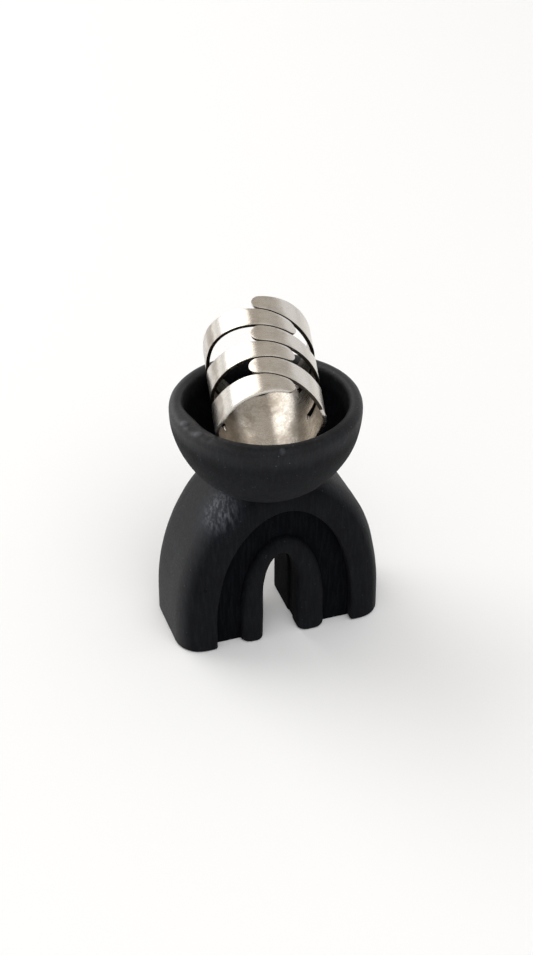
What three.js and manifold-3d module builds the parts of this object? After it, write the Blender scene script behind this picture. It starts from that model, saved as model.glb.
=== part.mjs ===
// An open silver finger ring resting in its black stoneware holder.
// Units are millimetres. +Z is up and the origin is the middle of the holder's underside.
// X runs across the holder's arch, Y from its front to its back.
import * as THREE from "three";
import { mergeVertices } from "three/addons/utils/BufferGeometryUtils.js";
import Module from "manifold-3d";

const wasm = await Module();
wasm.setup();

// Driving dimensions of the ring: one thin sheet, rolled round a slightly oval bore. Each of its
// ends draws in toward the back of the ring, between two angles from the top.
const boreWidth = 18.6;
const boreHeight = 23.0;
const sheet = 0.65;
const ringLength = 22.8;
const nearDraw = 3.5;
const nearDrawFrom = 60;
const nearDrawTo = 115;
const farDraw = 2.7;
const farDrawFrom = 120;
const farDrawTo = 180;
const slotWidth = 0.8;
const fingerGap = 0.25;
const rightSlotEnds = [126, 134];
const leftSlotEnd = 232;

// How the ring leans in the bowl, in degrees, and how far its middle is from the bowl's axis
const ringHeading = 11.6;
const ringTilt = 14.2;
const ringSpin = 2.3;
const ringOffsetX = -0.45;
const ringOffsetY = -0.6;
const restGap = 0.3;

// Driving dimensions of the holder's bowl, which sits a little left of the foot's middle
const bowlRadius = 17.65;
const bowlOffsetX = -0.2;
const bowlCentreHeight = 46.2;
const bowlWall = 2.7;
const hollowDepth = 10.6;

// Driving dimensions of the holder's arched foot, which reaches a little further forward than back.
// Its groove, inner arch and doorway are a little off its middle, as it is made by hand.
const footWidth = 40.2;
const footDepth = 19.6;
const footOffsetY = -0.4;
const footHeight = 36;
const footStraight = 5;
const footEdge = 4;
const doorWidth = 6.9;
const doorStraight = 10;
const doorHeight = 19.2;
const doorOffset = -0.4;
const innerBand = 4.9;
const innerBandTop = 3.4;
const innerBandOffset = 0.1;
const outerLeg = 6.8;
const grooveOffset = 0.2;
const grooveTop = 29;
const grooveDepth = 2;
const grooveStraight = 6;
const backRecess = 4.1;

// How finely curves are stepped, and how far a cutter reaches past what it cuts
const columnStep = 6;
const tipSteps = 4;
const bowlSegments = 56;
const bowlArcSteps = 12;
const rimArcSteps = 6;
const archSteps = 20;
const edgeSteps = 4;
const coreSegments = 28;
const over = 1;

const silver = new THREE.MeshStandardMaterial({ color: 0xbdb8b0, roughness: 0.38, metalness: 1 });
const stoneware = new THREE.MeshStandardMaterial({ color: 0x2b2d31, roughness: 0.62, metalness: 0 });

// A closed three.js geometry as a solid that can be joined and cut
function toSolid(geometry) {
  geometry.deleteAttribute("normal");
  geometry.deleteAttribute("uv");
  const merged = mergeVertices(geometry, 1e-4);
  const corners = merged.index.array;
  const triangles = [];
  for (let i = 0; i < corners.length; i += 3) {
    const [a, b, c] = [corners[i], corners[i + 1], corners[i + 2]];
    if (a !== b && b !== c && c !== a) triangles.push(a, b, c);
  }
  return new wasm.Manifold(new wasm.Mesh({
    numProp: 3,
    vertProperties: new Float32Array(merged.attributes.position.array),
    triVerts: new Uint32Array(triangles),
  }));
}

// A solid as a named mesh
function toMesh(name, solid, material) {
  const { vertProperties, triVerts } = solid.getMesh();
  const geometry = new THREE.BufferGeometry();
  geometry.setAttribute("position", new THREE.BufferAttribute(vertProperties, 3));
  geometry.setIndex(Array.from(triVerts));
  geometry.computeVertexNormals();
  const mesh = new THREE.Mesh(geometry, material);
  mesh.name = name;
  return mesh;
}

// The angle from the top of the ring, on either side, where the fingers grow out of the band
const rootAngle = 95;

// The five long cuts that part the fingers, from the near end of the ring to its far end. Each row
// says where the cut runs, as shares of the ring's length, at the angles in cutAngles: from the
// left fingers' roots over the top of the ring, at 0 degrees, to the right fingers' roots.
const cutAngles = [-rootAngle, -60, 0, 60, rootAngle];
const cuts = [
  [0.373, 0.261, 0.176, 0.027, 0.000],
  [0.416, 0.382, 0.350, 0.298, 0.407],
  [0.728, 0.622, 0.520, 0.431, 0.426],
  [0.757, 0.771, 0.688, 0.621, 0.728],
  [1.020, 0.997, 0.869, 0.742, 0.752],
];

// The six fingers from the near end to the far end, each between two neighbouring cuts. tipAngle is
// where its round tip ends. A right finger grows from the right side, and a left one from the left.
const fingers = [
  { side: "left", tipAngle: 25 },
  { side: "right", tipAngle: -19 },
  { side: "left", tipAngle: 31 },
  { side: "right", tipAngle: -12 },
  { side: "left", tipAngle: 39 },
  { side: "right", tipAngle: -6 },
];

// A tip's last column stops this many degrees round its half circle, and leaves a short blunt end
const bluntTurn = 80;

const mix = (a, b, t) => a + (b - a) * t;
const radians = THREE.MathUtils.degToRad;

// A point of the sheet's inner or outer face, in the ring's own frame: its axis is Y
function sheetPoint(angle, share, outside) {
  const grow = outside ? sheet : 0;
  const x = (boreWidth / 2 + grow) * Math.sin(radians(angle));
  const z = (boreHeight / 2 + grow) * Math.cos(radians(angle));
  return [x, (share - 0.5) * ringLength, z];
}

// A smooth curve through values given at rising stations, level before the first and after the last
function smoothThrough(stations, values, at) {
  const last = stations.length - 1;
  const x = Math.min(Math.max(at, stations[0]), stations[last]);
  const k = Math.min(stations.findLastIndex((station) => station <= x), last - 1);
  const width = stations[k + 1] - stations[k];
  const slope = (i) => (i === 0 || i === last
    ? 0
    : (values[i + 1] - values[i - 1]) / (stations[i + 1] - stations[i - 1]));
  const t = (x - stations[k]) / width;
  const bend = t * t * (3 - 2 * t);
  const rise = width * t * (1 - t) * (slope(k) * (1 - t) - slope(k + 1) * t);
  return mix(values[k], values[k + 1], bend) + rise;
}

// How far from the top of the ring an angle is, on either side
const fromTop = (angle) => Math.abs(angle > 180 ? angle - 360 : angle);

// The ring's own two ends as shares of its length: both draw in toward its back
function nearEnd(angle) {
  return (nearDraw / ringLength) * THREE.MathUtils.smoothstep(fromTop(angle), nearDrawFrom, nearDrawTo);
}

function farEnd(angle) {
  return 1 - (farDraw / ringLength) * THREE.MathUtils.smoothstep(fromTop(angle), farDrawFrom, farDrawTo);
}

// The two edges of a finger at an angle, drawn in by half the gap to a neighbour or a slot
function fingerEdges(index, angle) {
  const rootShare = Math.min(fromTop(angle) / rootAngle, 1);
  const half = mix(fingerGap, slotWidth, rootShare) / 2 / ringLength;
  const cutShare = (cut) => smoothThrough(cutAngles, cuts[cut], angle);
  const near = index === 0 ? 0 : cutShare(index - 1) + half;
  const far = index === fingers.length - 1 ? 1 : cutShare(index) - half;
  return { angle, near: Math.max(near, nearEnd(angle)), far: Math.min(far, farEnd(angle)) };
}

// The round tip of a finger as columns from its end inward, and the angle where it begins
function tipColumns(index) {
  const { side, tipAngle } = fingers[index];
  const inward = side === "right" ? 1 : -1;
  const width = fingerEdges(index, tipAngle).far - fingerEdges(index, tipAngle).near;
  const reach = THREE.MathUtils.radToDeg(width / 2 * ringLength / (boreWidth / 2));
  const columns = [];
  for (let i = 0; i < tipSteps; i += 1) {
    const turn = radians(bluntTurn * (1 - i / tipSteps));
    const angle = tipAngle + inward * reach * (1 - Math.sin(turn));
    const { near, far } = fingerEdges(index, angle);
    const middle = (near + far) / 2;
    const half = ((far - near) / 2) * Math.cos(turn);
    columns.push({ angle, near: middle - half, far: middle + half });
  }
  return { columns, start: tipAngle + inward * reach };
}

// Angles from one to another, about one column step apart
function spread(from, to) {
  const count = Math.max(1, Math.round((to - from) / columnStep));
  return Array.from({ length: count + 1 }, (_, i) => mix(from, to, i / count));
}

// A band's edges: a finger's on each side, and straight from one to the other round the back
function bandEdges(rightIndex, leftIndex, angle) {
  const right = fingerEdges(rightIndex, Math.min(angle, rootAngle));
  const left = fingerEdges(leftIndex, Math.max(angle - 360, -rootAngle));
  const t = Math.min(Math.max((angle - rootAngle) / (360 - 2 * rootAngle), 0), 1);
  const near = rightIndex === 1 ? nearEnd(angle) : mix(right.near, left.near, t);
  const far = rightIndex === fingers.length - 1 ? farEnd(angle) : mix(right.far, left.far, t);
  return { angle, near, far };
}

// One long band: a right finger, its share of the back of the ring, and the left finger beyond.
// Angles run on past 360 degrees, from the right finger's tip to the left finger's.
function bandColumns(rightIndex, leftIndex) {
  const right = tipColumns(rightIndex);
  const left = tipColumns(leftIndex);
  const onRight = spread(right.start, rootAngle).map((angle) => fingerEdges(rightIndex, angle));
  const onLeft = spread(-rootAngle, left.start).map((angle) => fingerEdges(leftIndex, angle));
  const round = [
    ...spread(rootAngle, rightSlotEnds[0]).slice(1),
    ...spread(rightSlotEnds[0], rightSlotEnds[1]).slice(1),
    ...spread(rightSlotEnds[1], leftSlotEnd).slice(1),
    ...spread(leftSlotEnd, 360 - rootAngle).slice(1, -1),
  ];
  const past = (column) => ({ ...column, angle: column.angle + 360 });
  return [
    ...right.columns,
    ...onRight,
    ...round.map((angle) => bandEdges(rightIndex, leftIndex, angle)),
    ...onLeft.map(past),
    ...left.columns.reverse().map(past),
  ];
}

// The sheet's faces between two columns, and the walls along its edges and at its ends
function sheetBuilder() {
  const positions = [];
  const corner = (column, edge, outside) => sheetPoint(column.angle, column[edge], outside);
  const quad = (a, b, c, d) => positions.push(...a, ...b, ...c, ...a, ...c, ...d);
  const wall = (columnA, edgeA, columnB, edgeB) => {
    const [a, b] = [corner(columnA, edgeA, false), corner(columnA, edgeA, true)];
    const [c, d] = [corner(columnB, edgeB, true), corner(columnB, edgeB, false)];
    quad(d, c, b, a);
  };
  const face = (from, to, outside) => {
    const [a, b] = [corner(from, "near", outside), corner(to, "near", outside)];
    const [c, d] = [corner(to, "far", outside), corner(from, "far", outside)];
    quad(...(outside ? [a, b, c, d] : [d, c, b, a]));
  };
  return { positions, wall, face };
}

// The sheet with its fingers: three bands from the near end to the far end, with a bridge between
// two of them from the right slot's end round the back to the left slot's
function ringGeometry() {
  const { positions, wall, face } = sheetBuilder();
  const bands = [];
  for (let i = 1; i < fingers.length; i += 2) {
    bands.push(bandColumns(i, i - 1));
  }
  const onBridge = (i, column) => column.angle >= rightSlotEnds[i] && column.angle <= leftSlotEnd;
  const joined = (i, from, to) => onBridge(i, from) && onBridge(i, to);

  bands.forEach((columns, i) => {
    for (let k = 0; k + 1 < columns.length; k += 1) {
      const [from, to] = [columns[k], columns[k + 1]];
      face(from, to, true);
      face(from, to, false);
      if (!joined(i - 1, from, to)) {
        wall(from, "near", to, "near");
      }
      if (!joined(i, from, to)) {
        wall(to, "far", from, "far");
      }
    }
    wall(columns[0], "far", columns[0], "near");
    wall(columns.at(-1), "near", columns.at(-1), "far");
  });

  for (let i = 0; i < rightSlotEnds.length; i += 1) {
    const further = bands[i + 1].filter((column) => onBridge(i, column));
    const bridge = bands[i].filter((column) => onBridge(i, column)).map((column, k) => ({
      angle: column.angle,
      near: column.far,
      far: further[k].near,
    }));
    for (let k = 0; k + 1 < bridge.length; k += 1) {
      face(bridge[k], bridge[k + 1], true);
      face(bridge[k], bridge[k + 1], false);
    }
    wall(bridge[0], "far", bridge[0], "near");
    wall(bridge.at(-1), "near", bridge.at(-1), "far");
  }

  const geometry = new THREE.BufferGeometry();
  geometry.setAttribute("position", new THREE.Float32BufferAttribute(positions, 3));
  return mergeVertices(geometry, 1e-4);
}

// How high a point may lie over the bowl's middle and keep the resting gap to the hollow's wall or,
// further out, to the round rim
function lowestHeight(reach) {
  const hollowRadius = bowlRadius - bowlWall - restGap;
  if (reach < hollowRadius) {
    return -(hollowDepth - restGap) * Math.sqrt(1 - (reach / hollowRadius) ** 2);
  }
  const rimRound = bowlWall / 2 + restGap;
  const across = reach - (bowlRadius - bowlWall / 2);
  return Math.sqrt(Math.max(rimRound ** 2 - across ** 2, 0));
}

// How high the ring's middle lies over the bowl's: as low as both of its ends can go
function restHeight(turn) {
  let height = -hollowDepth;
  for (const end of [nearEnd, farEnd]) {
    for (let angle = nearDrawFrom; angle <= 360 - nearDrawFrom; angle += columnStep) {
      const point = new THREE.Vector3(...sheetPoint(angle, end(angle), true)).applyEuler(turn);
      const reach = Math.hypot(point.x + ringOffsetX, point.y + ringOffsetY);
      height = Math.max(height, lowestHeight(reach) - point.z);
    }
  }
  return height;
}

function makeRing() {
  const mesh = new THREE.Mesh(ringGeometry(), silver);
  mesh.name = "ring";
  const turn = new THREE.Euler(radians(ringTilt), radians(-ringSpin), radians(-ringHeading), "ZXY");
  const lean = new THREE.Group();
  lean.rotation.copy(turn);
  lean.position.set(bowlOffsetX + ringOffsetX, ringOffsetY, bowlCentreHeight + restHeight(turn));
  lean.add(mesh);
  return lean;
}

// Points of an arc of an ellipse, from one angle to another in degrees
function arc(centreX, centreY, radiusX, radiusY, from, to, steps) {
  const points = [];
  for (let i = 0; i <= steps; i += 1) {
    const angle = radians(mix(from, to, i / steps));
    const x = centreX + radiusX * Math.cos(angle);
    const y = centreY + radiusY * Math.sin(angle);
    points.push(new THREE.Vector2(x, y));
  }
  return points;
}

// The bowl: half a ball outside, a round rim and an oval hollow inside
function bowlSolid() {
  const rimRound = bowlWall / 2;
  const rimMiddle = bowlRadius - rimRound;
  const hollowRadius = bowlRadius - bowlWall;
  const profile = [
    ...arc(0, 0, bowlRadius, bowlRadius, -90, 0, bowlArcSteps),
    ...arc(rimMiddle, 0, rimRound, rimRound, 0, 180, rimArcSteps).slice(1, -1),
    ...arc(0, 0, hollowRadius, hollowDepth, 0, -90, bowlArcSteps),
  ];
  profile[0].x = 0;
  profile[profile.length - 1].x = 0;
  const geometry = new THREE.LatheGeometry(profile, bowlSegments);
  geometry.rotateX(Math.PI / 2);
  geometry.translate(bowlOffsetX, 0, bowlCentreHeight);
  return toSolid(geometry);
}

// An arch's outline from its left leg to its right: straight legs, then half an ellipse
function archOutline(halfWidth, straight, height, below, offset = 0) {
  return [
    new THREE.Vector2(offset - halfWidth, -below),
    ...arc(offset, straight, halfWidth, height - straight, 180, 0, archSteps),
    new THREE.Vector2(offset + halfWidth, -below),
  ];
}

// An outline of the arch's plane, drawn out in depth from one Y to another
function archPrism(outline, fromY, toY, edge = 0) {
  const geometry = new THREE.ExtrudeGeometry(new THREE.Shape(outline), {
    depth: toY - fromY - 2 * edge,
    bevelEnabled: edge > 0,
    bevelThickness: edge,
    bevelSize: edge,
    bevelOffset: -edge,
    bevelSegments: edgeSteps,
    steps: 1,
  });
  geometry.rotateX(Math.PI / 2);
  geometry.translate(0, toY - edge, 0);
  return toSolid(geometry);
}

// The foot: a thick arch with rounded edges and a doorway through it. On its front a groove leaves a
// narrow inner arch round the doorway, and its back is set in within the outer arch.
function footSolid() {
  const front = footOffsetY - footDepth / 2;
  const back = footOffsetY + footDepth / 2;
  const below = 2 * footEdge;
  const bandHalf = doorWidth / 2 + innerBand;
  const bandTop = doorHeight + innerBandTop;
  const door = archOutline(doorWidth / 2, doorStraight, doorHeight, below, doorOffset);
  const band = archOutline(bandHalf, grooveStraight, bandTop, below, innerBandOffset);
  const openingHalf = footWidth / 2 - outerLeg;
  const opening = archOutline(openingHalf, grooveStraight, grooveTop, below, grooveOffset);
  const groove = [...opening, ...band.reverse()];

  const ground = new THREE.BoxGeometry(2 * footWidth, 2 * footDepth, below + over);
  ground.translate(0, 0, -(below + over) / 2);
  const core = new THREE.SphereGeometry(bowlRadius - bowlWall / 2, coreSegments, coreSegments);
  core.translate(bowlOffsetX, 0, bowlCentreHeight);

  const outline = archOutline(footWidth / 2, footStraight, footHeight, below);
  return archPrism(outline, front, back, footEdge)
    .subtract(archPrism(door, front - over, back + over))
    .subtract(archPrism(groove, front - over, front + grooveDepth))
    .subtract(archPrism(opening, back - backRecess, back + over))
    .subtract(toSolid(ground))
    .subtract(toSolid(core));
}

const group = new THREE.Group();
group.add(makeRing());
group.add(toMesh("holder", bowlSolid().add(footSolid()), stoneware));

export default group;
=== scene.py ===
"""An open silver finger ring leaning in its black stoneware holder, built round its CAD solids."""
import math

import bmesh
import bpy
from bpy.props import FloatProperty, FloatVectorProperty, PointerProperty
from mathutils import Matrix, Vector, noise


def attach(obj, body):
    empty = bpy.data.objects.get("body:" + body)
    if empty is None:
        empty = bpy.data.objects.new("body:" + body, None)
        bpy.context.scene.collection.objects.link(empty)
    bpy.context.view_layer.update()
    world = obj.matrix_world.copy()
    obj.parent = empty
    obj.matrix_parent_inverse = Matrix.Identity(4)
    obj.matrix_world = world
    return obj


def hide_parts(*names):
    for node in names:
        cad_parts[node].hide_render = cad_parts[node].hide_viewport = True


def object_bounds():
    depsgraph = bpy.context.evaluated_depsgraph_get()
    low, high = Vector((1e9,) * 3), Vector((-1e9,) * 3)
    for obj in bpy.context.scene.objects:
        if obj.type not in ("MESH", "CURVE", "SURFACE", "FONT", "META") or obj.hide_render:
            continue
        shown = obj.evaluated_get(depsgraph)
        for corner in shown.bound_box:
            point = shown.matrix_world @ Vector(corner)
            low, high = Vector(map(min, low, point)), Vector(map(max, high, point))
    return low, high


bl_info = {
    "name": "Silver ring in a stoneware holder",
    "version": (1, 0, 0),
    "blender": (4, 5, 0),
    "location": "View3D > Sidebar > Ring Holder",
    "description": "Models an open silver finger ring in a stoneware bowl on an arched foot",
    "category": "Object",
}

MM = 0.001

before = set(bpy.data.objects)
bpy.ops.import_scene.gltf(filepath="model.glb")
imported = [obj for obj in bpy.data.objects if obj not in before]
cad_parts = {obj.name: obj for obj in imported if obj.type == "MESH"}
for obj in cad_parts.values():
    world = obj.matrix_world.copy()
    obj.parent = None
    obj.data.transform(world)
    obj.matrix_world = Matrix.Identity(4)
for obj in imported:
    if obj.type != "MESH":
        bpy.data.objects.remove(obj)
CAD_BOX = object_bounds()

# The ring's finger pattern, as in the part's own source. The angle from the top of the ring, on
# either side, where the fingers grow out of the band:
ROOT_ANGLE = 95
# The five long cuts from the near end to the far end, as shares of the ring's length, at these
# angles from the left fingers' roots over the top to the right fingers' roots.
CUT_ANGLES = (-ROOT_ANGLE, -60, 0, 60, ROOT_ANGLE)
CUTS = (
    (0.373, 0.261, 0.176, 0.027, 0.000),
    (0.416, 0.382, 0.350, 0.298, 0.407),
    (0.728, 0.622, 0.520, 0.431, 0.426),
    (0.757, 0.771, 0.688, 0.621, 0.728),
    (1.020, 0.997, 0.869, 0.742, 0.752),
)
# The six fingers from the near end to the far end: left, right, left and so on, each with the
# angle of its round tip
TIP_ANGLES = (25, -19, 31, -12, 39, -6)
RIGHT_SLOT_ENDS = (126, 134)
LEFT_SLOT_END = 232
# Where the hand-smoothed stoneware is fuller or chipped: place, width and rise in millimetres
HAND_SPOTS = (
    ((-16.5, -2.7, 47.5), 1.2, 0.22),
    ((-16.3, -4.6, 47.4), 0.9, 0.16),
    ((-15.2, -6.9, 47.5), 1.2, 0.24),
    ((-13.9, -9.3, 47.5), 0.9, -0.2),
    ((-2.8, -16.5, 47.4), 0.8, 0.25),
    ((-3.7, -15.9, 47.5), 0.6, -0.2),
    ((17.0, -4.0, 23.0), 11.0, 0.45),
)
# Where painted highlights sit on the rim's bumps, in millimetres
PAINTED_HIGHLIGHT_SPOTS = ((-16.5, -2.7, 47.5), (-15.2, -6.9, 47.5), (-2.8, -16.5, 47.4))
# The pale clay of the burnished streaks and specks, also used for the painted highlights
PALE_CLAY_AND_HIGHLIGHT = "5b5e65"
# Pin-sized pits in the clay, each painted as a near-black spot of shade, in millimetres
PITS = ((-12.1, -7.8, 30.4), (-15.4, -10.0, 14.6), (-17.4, -9.0, 3.5))
# The near-black painted shade inside a pit
PIT_SHADE_CLAY = "020203"
# How far below the rim its front is shaped by hand, and where along Y that fades out
RIM_DEPTH = 6 * MM
FRONT_FADE = (-2 * MM, 5 * MM)
# The roundings of the outer arch's rim at the groove and of the doorway's rear rim
GROOVE_EDGE = 2.4 * MM
DOOR_EDGE = 1 * MM
CREASE_WIDTH = 0.8 * MM
# How far the wall behind the groove runs on into the outer arch, so that the two are one
WALL_OVERLAP = 1.5 * MM
# The least clay left between the arch's top and the bowl's hollow
UNDER_HOLLOW = 0.8 * MM
# An edge of an arch's section that is longer than this is cut in four
LONG_EDGE = 1.5 * MM
SOLE_STEPS = 8
# The lights: name, place in metres, width in metres, watts and colour
LIGHTS = (
    ("window", (-0.47, 0.62, 0.55), 0.90, 4.2, "fffefc"),
    ("overhead", (0.00, -0.45, 0.80), 0.70, 2.35, "fffefd"),
)
LIGHT_AIM = (0, 0, 0.04)
# The way toward the dark side of the room, where the camera stands
SHADE_SIDE = (0.33, -0.90, 0.28)
# The camera, in metres
CAMERA_PLACE = (-0.10746, -0.31395, 0.26971)
CAMERA_AIM = (-0.002447, -0.00697, 0.03539)
# Where the ring's two ends draw in toward its back, in degrees from the top
NEAR_DRAW_ANGLES = (60, 115)
FAR_DRAW_ANGLES = (120, 180)
# Walls this near to either end of the ring, as a share of its length, are the end's own
END_SHARE = 0.025
# The turn of a round finger tip: short of 90 degrees, so that its last faces keep some width
TIP_TURN = math.radians(87)
# Where the bloom begins on the outside of each finger, in degrees from the top
BLOOM_EDGES = (-9, -24, -10, -24, -13, -24)
# Without a seed, the clay's waves would differ from run to run
WAVE_SEED = 5
# The sockets of a Mix node for its two colours and their mixture
MIX_FIRST, MIX_SECOND, MIX_RESULT = 6, 7, 2


def linear(code):
    """The linear red, green and blue of an sRGB hex colour."""
    shares = [int(code[i:i + 2], 16) / 255 for i in (0, 2, 4)]
    return tuple(c / 12.92 if c <= 0.04045 else ((c + 0.055) / 1.055) ** 2.4 for c in shares)


def mix(a, b, t):
    """The value at share t of the way from a to b."""
    return a + (b - a) * t


def smooth_step(x, low, high):
    """A smooth rise from 0 at low to 1 at high."""
    t = min(max((x - low) / (high - low), 0), 1)
    return t * t * (3 - 2 * t)


# Sizes and colours that a user can change

LENGTH = {"unit": "LENGTH", "precision": 4}
FINE_LENGTH = {"unit": "LENGTH", "precision": 5}
COLOUR = {"size": 3, "subtype": "COLOR", "min": 0, "max": 1}


class RingSizes(bpy.types.PropertyGroup):
    bore_width: FloatProperty(
        name="Bore width", description="Inside width of the ring", default=18.6 * MM, **LENGTH)
    bore_height: FloatProperty(
        name="Bore height", description="Inside height of the ring", default=23.0 * MM, **LENGTH)
    length: FloatProperty(
        name="Length", description="Length of the ring along the finger", default=22.8 * MM,
        **LENGTH)
    sheet: FloatProperty(
        name="Sheet", description="Thickness of the silver sheet", default=0.65 * MM, **FINE_LENGTH)
    near_draw: FloatProperty(
        name="Near draw", description="How far the near end draws in at the back", default=3.5 * MM,
        **LENGTH)
    far_draw: FloatProperty(
        name="Far draw", description="How far the far end draws in at the back", default=2.7 * MM,
        **LENGTH)
    slot: FloatProperty(
        name="Slot", description="Width of a slot at its blind end", default=0.8 * MM,
        **FINE_LENGTH)
    gap: FloatProperty(
        name="Finger gap", description="Gap between two fingers at the top", default=0.25 * MM,
        **FINE_LENGTH)
    edge: FloatProperty(
        name="Edge", description="Width of the filed edge of the sheet", default=0.18 * MM,
        **FINE_LENGTH)
    heading: FloatProperty(
        name="Heading", description="Turn of the ring about the upright axis",
        default=math.radians(-11.6), subtype="ANGLE")
    tilt: FloatProperty(
        name="Tilt", description="How far the ring's far end is raised", default=math.radians(14.2),
        subtype="ANGLE")
    spin: FloatProperty(
        name="Spin", description="Turn of the ring about its own axis", default=math.radians(-2.3),
        subtype="ANGLE")
    middle: FloatVectorProperty(
        name="Middle", description="Where the middle of the ring is", size=3, subtype="TRANSLATION",
        default=(-0.65 * MM, -0.6 * MM, 50.322 * MM))
    silver_colour: FloatVectorProperty(
        name="Silver", description="Colour of the bright silver", default=linear("d6d1c9"),
        **COLOUR)
    # The bloom colour also paints the darker reflections on the outside's left and low inside
    bloom_and_painted_reflection_colour: FloatVectorProperty(
        name="Bloom", description="Colour of the aged silver on the tips and inside",
        default=linear("a59c91"), **COLOUR)
    sawn_colour: FloatVectorProperty(
        name="Sawn edge", description="Colour of the darkened sawn edges", default=linear("3a342e"),
        **COLOUR)


class HolderSizes(bpy.types.PropertyGroup):
    bowl_radius: FloatProperty(
        name="Bowl radius", description="Outer radius of the bowl", default=17.65 * MM, **LENGTH)
    bowl_middle: FloatVectorProperty(
        name="Bowl middle", description="Where the middle of the bowl's rim is", size=3,
        subtype="TRANSLATION", default=(-0.2 * MM, 0, 46.2 * MM))
    bowl_wall: FloatProperty(
        name="Bowl wall", description="Thickness of the rolled rim", default=2.7 * MM, **LENGTH)
    hollow_depth: FloatProperty(
        name="Hollow depth", description="Depth of the hollow under the bowl's middle",
        default=10.6 * MM, **LENGTH)
    foot_width: FloatProperty(
        name="Foot width", description="Width over both legs", default=40.2 * MM, **LENGTH)
    foot_depth: FloatProperty(
        name="Foot depth", description="Depth from front to back", default=19.6 * MM, **LENGTH)
    foot_offset: FloatProperty(
        name="Foot offset", description="How far the foot's middle is behind the bowl's",
        default=-0.4 * MM, **FINE_LENGTH)
    foot_height: FloatProperty(
        name="Foot height", description="Height of the arch's top, inside the bowl's wall",
        default=36 * MM, **LENGTH)
    leg_straight: FloatProperty(
        name="Straight leg", description="Height of the upright part of a leg", default=5 * MM,
        **LENGTH)
    foot_edge: FloatProperty(
        name="Foot edge", description="Rounding of the outer arch's edges", default=4.8 * MM,
        **LENGTH)
    door_width: FloatProperty(
        name="Door width", description="Width of the doorway", default=6.9 * MM, **LENGTH)
    door_height: FloatProperty(
        name="Door height", description="Height of the doorway", default=19.2 * MM, **LENGTH)
    door_straight: FloatProperty(
        name="Straight door", description="Height of the upright part of the doorway",
        default=10 * MM, **LENGTH)
    inner_band: FloatProperty(
        name="Inner arch", description="Width of the inner arch at a leg", default=4.9 * MM,
        **LENGTH)
    inner_band_top: FloatProperty(
        name="Inner arch top", description="Width of the inner arch at its top", default=3.4 * MM,
        **LENGTH)
    inner_band_offset: FloatProperty(
        name="Inner arch offset",
        description="How far the inner arch sits right of the foot's middle", default=0.1 * MM,
        **FINE_LENGTH)
    outer_leg: FloatProperty(
        name="Outer arch", description="Width of the outer arch at a leg", default=6.8 * MM,
        **LENGTH)
    groove_top: FloatProperty(
        name="Groove top", description="Height of the top of the groove", default=29 * MM, **LENGTH)
    groove_depth: FloatProperty(
        name="Groove depth", description="Depth of the groove between the arches", default=2 * MM,
        **LENGTH)
    groove_straight: FloatProperty(
        name="Straight groove", description="Height of the upright part of the groove",
        default=6 * MM, **LENGTH)
    back_recess: FloatProperty(
        name="Back recess", description="How far the back is set in within the outer arch",
        default=4.1 * MM, **LENGTH)
    groove_offset: FloatProperty(
        name="Groove offset", description="How far the groove sits right of the foot's middle",
        default=0.2 * MM, **FINE_LENGTH)
    door_offset: FloatProperty(
        name="Door offset", description="How far the doorway sits right of the foot's middle",
        default=-0.4 * MM, **FINE_LENGTH)
    rim_tilt: FloatProperty(
        name="Rim tilt", description="How much the rim is higher at its front than at its middle",
        default=0.6 * MM, **FINE_LENGTH)
    rim_fullness: FloatProperty(
        name="Rim fullness", description="How much the front half of the rim is thicker inside",
        default=0.6 * MM, **FINE_LENGTH)
    hollow_offset: FloatProperty(
        name="Hollow offset",
        description="How far right the hollow's wall is, which thickens the left rim",
        default=0.7 * MM, **FINE_LENGTH)
    rubbed_place: FloatVectorProperty(
        name="Rubbed patch", description="Middle of the burnished patch", size=3,
        subtype="TRANSLATION", default=(-12.6 * MM, -7.0 * MM, 31.0 * MM))
    rope_depth: FloatProperty(
        name="Inner arch depth", description="Depth of the round inner arch", default=5.4 * MM,
        **LENGTH)
    rope_edge: FloatProperty(
        name="Inner arch edge", description="Rounding of the inner arch", default=2.2 * MM,
        **LENGTH)
    sole_edge: FloatProperty(
        name="Sole edge", description="Rounding of the legs' lower rims", default=0.6 * MM,
        **LENGTH)
    crease: FloatProperty(
        name="Crease", description="Depth of the crease in the doorway's wall", default=0.35 * MM,
        **FINE_LENGTH)
    clay_colour: FloatVectorProperty(
        name="Clay", description="Colour of the black stoneware", default=linear("06070a"),
        **COLOUR)
    rubbed_colour: FloatVectorProperty(
        name="Rubbed clay", description="Colour where the clay is burnished or rubbed",
        default=linear("23262d"), **COLOUR)


class StageSizes(bpy.types.PropertyGroup):
    floor_radius: FloatProperty(
        name="Floor radius", description="Radius of the pale floor", default=3.0, unit="LENGTH")
    lens: FloatProperty(
        name="Lens", description="Focal length of the camera in millimetres", default=83.15)
    floor_colour: FloatVectorProperty(
        name="Floor", description="Colour of the pale floor", default=linear("f6f7f8"), **COLOUR)
    window_colour: FloatVectorProperty(
        name="Room", description="Colour of the bright room round the object",
        default=linear("fafafc"), **COLOUR)
    ceiling_colour: FloatVectorProperty(
        name="Ceiling", description="Colour of the dimmer ceiling", default=linear("bab2a8"),
        **COLOUR)
    shade_colour: FloatVectorProperty(
        name="Shade", description="Colour of the dark camera side", default=linear("dedede"),
        **COLOUR)


# Materials

def add_node(tree, kind, inputs=None, **settings):
    """Adds a node with its settings. An input takes a number, a colour or another node's output."""
    node = tree.nodes.new(kind)
    for name, value in settings.items():
        setattr(node, name, value)
    for name, value in (inputs or {}).items():
        if isinstance(value, bpy.types.NodeSocket):
            tree.links.new(value, node.inputs[name])
        else:
            node.inputs[name].default_value = value
    return node


def new_material(name):
    """An empty material and its node tree."""
    material = bpy.data.materials.new(name)
    material.use_nodes = True
    material.node_tree.nodes.clear()
    return material, material.node_tree


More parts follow.
